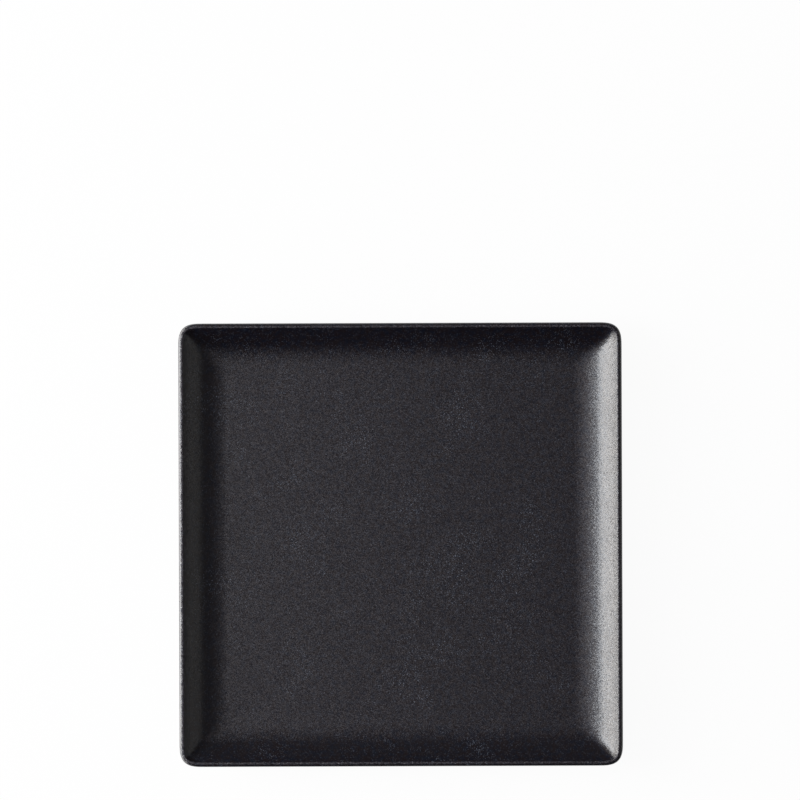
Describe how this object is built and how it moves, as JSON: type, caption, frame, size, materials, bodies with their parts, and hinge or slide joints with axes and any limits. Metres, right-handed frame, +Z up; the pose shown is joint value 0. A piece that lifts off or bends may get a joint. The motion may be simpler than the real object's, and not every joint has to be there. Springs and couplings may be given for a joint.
{
  "type": "square plate",
  "caption": "Shallow square plate in satin black glazed stoneware, with a sloping wall, a narrow round lip and a bare square foot; serves food and rests on a table.",
  "frame": {"origin": "middle of the plane the foot stands on", "axes": "+Z up out of the well, X and Y square to the plate's sides"},
  "size_m": [0.22, 0.22, 0.018],
  "materials": {
    "bare_stoneware": "matte",
    "satin_black_glaze": "satin"
  },
  "bodies": {
    "root": {"stoneware_body": "bare_stoneware", "glaze_coat": "satin_black_glaze", "base_glaze": "satin_black_glaze"}
  },
  "joints": []
}
